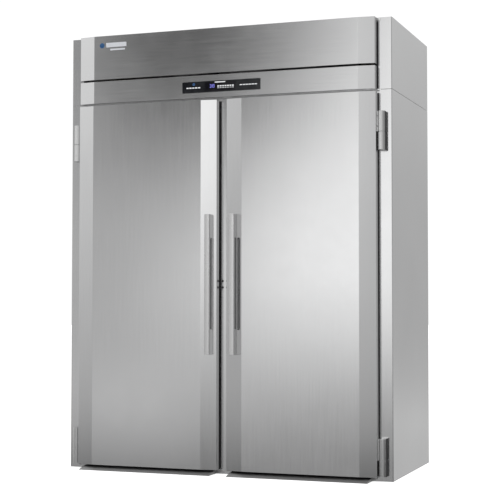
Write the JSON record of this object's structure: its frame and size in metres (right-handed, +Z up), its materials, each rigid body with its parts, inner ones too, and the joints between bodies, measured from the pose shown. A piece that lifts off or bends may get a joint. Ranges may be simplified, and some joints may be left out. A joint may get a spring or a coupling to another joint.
{
  "type": "proofing cabinet",
  "caption": "Tall stainless roll-in proofing cabinet: full-height hinged doors, entry ramps, a top machine section behind a lift-up header panel, and a control strip.",
  "frame": {"origin": "floor level, at the middle of the whole cabinet's width and depth, ramps included", "axes": "+X to the right of someone facing the doors, +Y to the back, +Z up"},
  "size_m": [1.648, 0.866, 2.14],
  "materials": {
    "outer_steel": "satin",
    "front_steel": "satin",
    "handle_steel": "satin",
    "hinge_steel": "satin",
    "inner_steel": "satin",
    "ramp_steel": "satin",
    "insulation": "matte",
    "black_rubber": "matte",
    "display_black": "gloss",
    "lamp_cover": "satin",
    "machine_steel": "satin",
    "motor_paint": "satin",
    "valve_brass": "satin",
    "black_plastic": "matte"
  },
  "bodies": {
    "cabinet": {"left_side_panel": "outer_steel", "right_side_panel": "outer_steel", "back_panel": "outer_steel", "left_upper_side": "outer_steel", "right_upper_side": "outer_steel", "upper_back_panel": "outer_steel", "top_cover": "outer_steel", "mullion": "outer_steel", "head_rail": "outer_steel", "control_strip": "front_steel", "left_upper_frame_hinge": "hinge_steel", "left_lower_frame_hinge": "hinge_steel", "right_upper_frame_hinge": "hinge_steel", "right_lower_frame_hinge": "hinge_steel", "left_header_pivot": "hinge_steel", "right_header_pivot": "hinge_steel", "interior_liner": "inner_steel", "ceiling_panel": "inner_steel", "floor_pan": "inner_steel", "rear_air_duct": "inner_steel", "left_bumper_rail": "inner_steel", "right_bumper_rail": "inner_steel", "rear_bumper_rail": "inner_steel", "chamber_probe": "inner_steel", "left_ramp": "ramp_steel", "right_ramp": "ramp_steel", "left_wall_core": "insulation", "right_wall_core": "insulation", "back_wall_core": "insulation", "left_jamb": "insulation", "right_jamb": "insulation", "display_module": "display_black", "left_chamber_light": "lamp_cover", "right_chamber_light": "lamp_cover", "blower_housing": "machine_steel", "humidity_tank": "machine_steel", "steam_tube": "machine_steel", "air_heater": "machine_steel", "blower_motor": "motor_paint", "control_box": "motor_paint", "water_valve": "valve_brass", "cable_gland": "black_plastic"},
    "left_door": {"left_door_panel": "front_steel", "left_door_handle": "handle_steel", "left_upper_door_hinge": "hinge_steel", "left_lower_door_hinge": "hinge_steel", "left_door_inner_panel": "inner_steel", "left_door_gasket": "black_rubber", "left_door_sweep": "black_rubber"},
    "right_door": {"right_door_panel": "front_steel", "right_door_handle": "handle_steel", "right_upper_door_hinge": "hinge_steel", "right_lower_door_hinge": "hinge_steel", "right_door_inner_panel": "inner_steel", "right_door_gasket": "black_rubber", "right_door_sweep": "black_rubber"},
    "header": {"header_panel": "front_steel"},
    "blower": {"blower_wheel": "machine_steel"}
  },
  "joints": [
    {"name": "left_door_hinge", "type": "hinge", "parent": "cabinet", "child": "left_door", "pos_m": [-0.782, -0.363, 0], "axis": [0, 0, -1], "range_deg": [0, 120]},
    {"name": "right_door_hinge", "type": "hinge", "parent": "cabinet", "child": "right_door", "pos_m": [0.782, -0.363, 0], "axis": [0, 0, 1], "range_deg": [0, 120]},
    {"name": "header_hinge", "type": "hinge", "parent": "cabinet", "child": "header", "pos_m": [0, -0.3395, 2.1325], "axis": [-1, 0, 0], "range_deg": [0, 90]},
    {"name": "blower_spin", "type": "hinge", "parent": "cabinet", "child": "blower", "pos_m": [-0.34, 0.265, 1.96], "axis": [1, 0, 0], "continuous": true}
  ]
}
